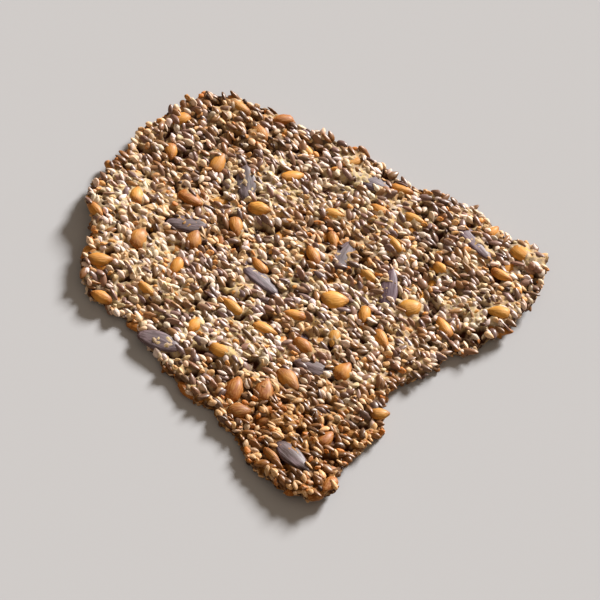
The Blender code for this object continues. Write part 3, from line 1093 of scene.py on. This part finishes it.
# %% [markdown]
# ## How the oven colours things
# Edges, corners and high spots brown first, and some patches of the oven run hotter. One node
# group holds this for all finishes: it mixes a raw colour towards a browned one by a slow noise,
# by each piece's own heat and by each seed's chance shade, which also makes each seed lighter or
# darker. A few helpers keep the wiring short. Given a socket, they find its node tree by it.

# %% Small helpers for nodes
def feed(socket, value):
    """Joins a socket to one that feeds it, or sets its number or colour."""
    if isinstance(value, bpy.types.NodeSocket):
        socket.id_data.links.new(value, socket)
    else:
        socket.default_value = value


def feed_all(node, inputs):
    for name, value in inputs.items():
        feed(node.inputs[name], value)


def add(tree, kind, inputs=None, **settings):
    """A node with these settings and with its inputs fed, by their names or numbers."""
    node = tree.nodes.new(kind)
    for name, value in settings.items():
        setattr(node, name, value)
    feed_all(node, inputs or {})
    return node


def maths(operation, first, second=0.0, clamp=False):
    inputs = {0: first, 1: second}
    node = add(first.id_data, "ShaderNodeMath", inputs, operation=operation, use_clamp=clamp)
    return node.outputs[0]


def mix(factor, first, second):
    """A colour between two."""
    inputs = {"Factor": factor, 6: first, 7: second}
    return add(factor.id_data, "ShaderNodeMix", inputs, data_type="RGBA").outputs[2]


def noise(places, detail, dimensions="3D", **inputs):
    inputs = {"Vector": places, "Detail": detail, **inputs}
    node = add(places.id_data, "ShaderNodeTexNoise", inputs, noise_dimensions=dimensions)
    return node.outputs["Fac"]


def ramp(value, low, high):
    """0 below the low value, 1 above the high one and a straight climb between."""
    inputs = {"Value": value, "From Min": low, "From Max": high}
    return add(value.id_data, "ShaderNodeMapRange", inputs, clamp=True).outputs["Result"]


def carried(tree, name, output="Fac"):
    """What each point carries under a name."""
    return add(tree, "ShaderNodeAttribute", attribute_name=name).outputs[output]


def new_group(name, inputs, outputs):
    """A node group with named sockets: inputs are (kind, name, value), outputs (kind, name)."""
    group = bpy.data.node_groups.new(name, "ShaderNodeTree")
    for kind, label, value in inputs:
        socket_type = "NodeSocket" + kind
        socket = group.interface.new_socket(label, in_out="INPUT", socket_type=socket_type)
        socket.default_value = value
    for kind, label in outputs:
        group.interface.new_socket(label, in_out="OUTPUT", socket_type="NodeSocket" + kind)
    given, made = group.nodes.new("NodeGroupInput"), group.nodes.new("NodeGroupOutput")
    print("group", name, "takes", [label for _, label, _ in inputs])
    return group, given.outputs, made.inputs


# %% The group that browns
browning, given, made = new_group(
    "Oven browning",
    [
        ("Color", "Raw", (0.6, 0.4, 0.2, 1)),
        ("Color", "Other raw", (0.5, 0.4, 0.3, 1)),
        ("Color", "Browned", (0.3, 0.1, 0.02, 1)),
        ("Float", "Amount", 0.3),
        ("Float", "Own browning", 0.0),
        ("Float", "Shade", 0.5),
        ("Float", "Shade spread", 0.4),
    ],
    [("Color", "Colour")],
)
PATCH_SCALE = 42
PATCHY = 1.6
BY_OWN_HEAT = 0.75
BY_CHANCE = 0.9
SECOND_DRAW = 7.3
places = add(browning, "ShaderNodeTexCoord").outputs["Object"]
patches = maths("SUBTRACT", noise(places, 4, Scale=PATCH_SCALE), 0.5)
brown = maths("ADD", given["Amount"], maths("MULTIPLY", patches, PATCHY))
brown = maths("ADD", brown, maths("MULTIPLY", given["Own browning"], BY_OWN_HEAT))
chance = maths("SUBTRACT", given["Shade"], 0.5)
brown = maths("ADD", brown, maths("MULTIPLY", chance, BY_CHANCE), clamp=True)
second_chance = maths("FRACT", maths("MULTIPLY", given["Shade"], SECOND_DRAW))
raw = mix(second_chance, given["Raw"], given["Other raw"])
baked = mix(brown, raw, given["Browned"])
lighter = maths("ADD", maths("MULTIPLY", chance, given["Shade spread"]), 1.0)
inputs = {0: baked, "Scale": lighter}
shaded = add(browning, "ShaderNodeVectorMath", inputs, operation="SCALE")
feed(made["Colour"], shaded.outputs[0])

# %% [markdown]
# Dry baked things are never smooth up close. The second group gives a fine grain that a finish
# can use for bump and for small flecks of colour.

# %% The group for fine grain
graining, given, made = new_group(
    "Dry grain",
    [("Float", "Scale", 1500.0)],
    [("Float", "Height"), ("Float", "Fleck")],
)
FLECK_SCALE = 0.45
GRAIN_FLECKS = (0.52, 0.68)
places = add(graining, "ShaderNodeTexCoord").outputs["Object"]
coarser = maths("MULTIPLY", given["Scale"], FLECK_SCALE)
feed(made["Height"], noise(places, 5, Roughness=0.6, Scale=given["Scale"]))
feed(made["Fleck"], ramp(noise(places, 2, Scale=coarser), *GRAIN_FLECKS))

# %% [markdown]
# A seed's skin has fine lines from end to end, and its thin ends brown before its middle. The
# third group draws the lines with a noise that is stretched along the seed, and puts out a mask
# for the ends. It reads the places on the seed that each copy carries, and it starts from another
# part of the noise for each seed.

# %% The group for seed skin
skin, given, made = new_group(
    "Seed skin",
    [("Float", "Scale", 2.5), ("Float", "Lines", 4.0)],
    [("Float", "Height"), ("Float", "Fleck"), ("Float", "Ends")],
)
APART = 90.0
BLOTCHY = 1.4
SKIN_FLECKS = (0.46, 0.70)
END_HEATS = (0.35, 1.05)
on_seed = carried(skin, "on_seed", "Vector")
own_part = maths("MULTIPLY", carried(skin, "shade"), APART)
widths = add(skin, "ShaderNodeCombineXYZ", {"X": 1.0, "Y": given["Lines"], "Z": given["Lines"]})
inputs = {0: on_seed, 1: widths.outputs["Vector"]}
stretched = add(skin, "ShaderNodeVectorMath", inputs, operation="MULTIPLY").outputs[0]
lines = noise(stretched, 3, "4D", Scale=given["Scale"], W=own_part)
blotchy = maths("MULTIPLY", maths("SUBTRACT", lines, 0.5), BLOTCHY)
along_seed = add(skin, "ShaderNodeSeparateXYZ", {0: on_seed}).outputs["X"]
end_heat = maths("ADD", maths("ABSOLUTE", along_seed), blotchy)
feed(made["Height"], lines)
feed(made["Fleck"], ramp(lines, *SKIN_FLECKS))
feed(made["Ends"], ramp(end_heat, *END_HEATS))

# %% [markdown]
# ## The finishes
# Every finish is the same short chain: the browning group gives the colour, flecks of a second
# colour break it up, and the grain gives the bump. What changes is the colours, the gloss and
# how much the seeds differ. Flax is the glossiest, dough and sesame are dull. Where the dough
# sinks low between the seeds, a dark brown is painted into its colour as shade.

# %% A finish from its colours
RELIEF = 0.2 * MM
COAT_ROUGHNESS = 0.28


def linear(red, green, blue):
    """A colour as a screen shows it, from 0 to 255, as the light value that a shader takes."""
    values = [v / 255 for v in (red, green, blue)]
    values = [v / 12.92 if v < 0.0404 else ((v + 0.055) / 1.055) ** 2.4 for v in values]
    return (*values, 1)


def finish(name, raw, other_raw, browned, flecked, amount=0.2, spread=0.5, rough=(0.4, 0.8),
           bump=0.9, fleck_share=0.4, shine=0.2, gloss=0.0, grain=None, lines=None, gap_shade_colour=None):
    """Grain is its scale. Lines are a skin's scale, its stretch and how brown its ends are."""
    material = bpy.data.materials.new(name)
    material.use_nodes = True
    tree = material.node_tree
    heat = carried(tree, "browned")
    if lines:
        scale, stretch, at_ends = lines
        relief = add(tree, "ShaderNodeGroup", {"Scale": scale, "Lines": stretch}, node_tree=skin)
        heat = maths("ADD", heat, maths("MULTIPLY", relief.outputs["Ends"], at_ends))
    else:
        relief = add(tree, "ShaderNodeGroup", {"Scale": grain}, node_tree=graining)
    baked = add(tree, "ShaderNodeGroup", {
        "Raw": linear(*raw), "Other raw": linear(*other_raw), "Browned": linear(*browned),
        "Amount": amount, "Own browning": heat,
        "Shade": carried(tree, "shade"), "Shade spread": spread,
    }, node_tree=browning)
    flecks = maths("MULTIPLY", relief.outputs["Fleck"], fleck_share)
    colour = mix(flecks, baked.outputs["Colour"], linear(*flecked))
    # Painted shade: a dark brown mixed into the colour where the dough lies low between the seeds
    if gap_shade_colour:
        colour = mix(carried(tree, "painted_gap_shade"), colour, linear(*gap_shade_colour))
    low, high = rough
    uneven = relief.outputs["Height"]
    bumps = {"Strength": bump, "Distance": RELIEF, "Height": uneven}
    feed_all(tree.nodes["Principled BSDF"], {
        "Base Color": colour,
        "Roughness": maths("ADD", maths("MULTIPLY", uneven, high - low), low),
        "Normal": add(tree, "ShaderNodeBump", bumps).outputs["Normal"],
        "Specular IOR Level": shine, "Coat Weight": gloss, "Coat Roughness": COAT_ROUGHNESS,
    })
    return material


# %% The finishes of the dough and of each kind: raw, second raw, browned and flecked colour first
FINISHES = {
    "baked_dough": finish(
        "baked dough", (206, 181, 126), (188, 166, 146), (158, 109, 50), (226, 208, 180),
        amount=0.15, spread=0.3, rough=(0.5, 0.95), fleck_share=0.5, shine=0.1, grain=1150,
        # painted shade: the dark brown of the low gaps in the dough
        gap_shade_colour=(60, 24, 4)),
    "pumpkin_kernels": finish(
        "pumpkin kernel", (96, 69, 82), (90, 78, 76), (78, 54, 48), (150, 128, 136),
        amount=0.10, spread=0.7, fleck_share=0.62, shine=0.25, gloss=0.08, lines=(1.6, 3.0, 0.5)),
    "sunflower_kernels": finish(
        "toasted sunflower kernel", (223, 157, 60), (210, 139, 46), (140, 77, 14), (236, 188, 110),
        amount=0.06, fleck_share=0.34, shine=0.22, gloss=0.06, lines=(1.5, 4.0, 1.3)),
    "flax_seeds": finish(
        "flax seed", (157, 114, 66), (132, 107, 109), (108, 66, 22), (180, 149, 122),
        spread=1.15, rough=(0.26, 0.55), bump=0.3, fleck_share=0.35, shine=0.16, gloss=0.19,
        lines=(1.6, 2.0, 0.3)),
    "sesame_seeds": finish(
        "sesame seed", (231, 213, 178), (238, 213, 212), (199, 150, 90), (250, 236, 222),
        amount=0.15, rough=(0.4, 0.75), bump=0.5, gloss=0.08, lines=(1.8, 2.5, 0.3)),
    "chia_seeds": finish(
        "chia seed", (84, 46, 18), (90, 64, 56), (62, 32, 10), (138, 120, 106),
        spread=0.8, rough=(0.35, 0.6), bump=0.2, fleck_share=0.5, shine=0.16,
        lines=(3.0, 1.0, 0.0)),
    "kernel_bits": finish(
        "chopped kernel", (219, 150, 66), (222, 203, 158), (178, 106, 36), (238, 216, 184),
        rough=(0.4, 0.75), bump=0.5, grain=1800),
}
for piece in pieces:
    piece.data.materials.clear()
    piece.data.materials.append(FINISHES[piece.name])
print("finishes:", [material.name for material in FINISHES.values()])

# %% Every piece rides on the cracker's body, and the dough stands for its solid
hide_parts("cracker")
for piece in pieces:
    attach(piece, "root")

# %% [markdown]
# ## The table and the light
# The shard lies on a plain pale table. A low light from behind and from the right rakes over the
# seeds, so that each one throws a small shadow towards the eye. It is a sun, which lights the
# whole table evenly, but as wide as a lamp with a large soft shade. A broad weak lamp and the
# warm light of the room fill the shadows.

# %% Table
start_alone()
bpy.ops.mesh.primitive_plane_add(size=6, location=(0, 0, 0))
table = bpy.context.active_object
table.name = "table"
table_finish = bpy.data.materials.new("pale table")
table_finish.use_nodes = True
table_looks = {"Base Color": linear(178, 179, 181), "Roughness": 0.9, "Specular IOR Level": 0.1}
feed_all(table_finish.node_tree.nodes["Principled BSDF"], table_looks)
table.data.materials.append(table_finish)

# %% Lamps and the room
LAMP_DISTANCE = 2.0


def new_lamp(name, kind, way, energy, tint):
    """A lamp that stands this way from the shard and shines on it."""
    lamp_data = bpy.data.lights.new(name, kind)
    lamp_data.energy = energy
    lamp_data.color = tint
    lamp = new_object(name, lamp_data)
    way = Vector(way).normalized()
    lamp.location = way * LAMP_DISTANCE
    lamp.rotation_euler = way.to_track_quat("Z", "Y").to_euler()
    return lamp_data


raking_light = new_lamp("raking_light", "SUN", (0.378, 0.83, 0.42), 8.2, (1.0, 0.975, 0.958))
raking_light.angle = math.radians(15.5)
filling_lamp = new_lamp("filling_lamp", "AREA", (-0.4, -0.8, 0.9), 2.5, (1.0, 0.92, 0.84))
filling_lamp.shape = "DISK"
filling_lamp.size = 1.5
world = bpy.data.worlds.new("room")
bpy.context.scene.world = world
world.use_nodes = True
room_light = {"Color": (1.0, 0.785, 0.59, 1), "Strength": 0.26}
feed_all(world.node_tree.nodes["Background"], room_light)
bpy.context.scene.view_settings.view_transform = "Standard"
print("lamps:", [lamp.name for lamp in bpy.data.lights])
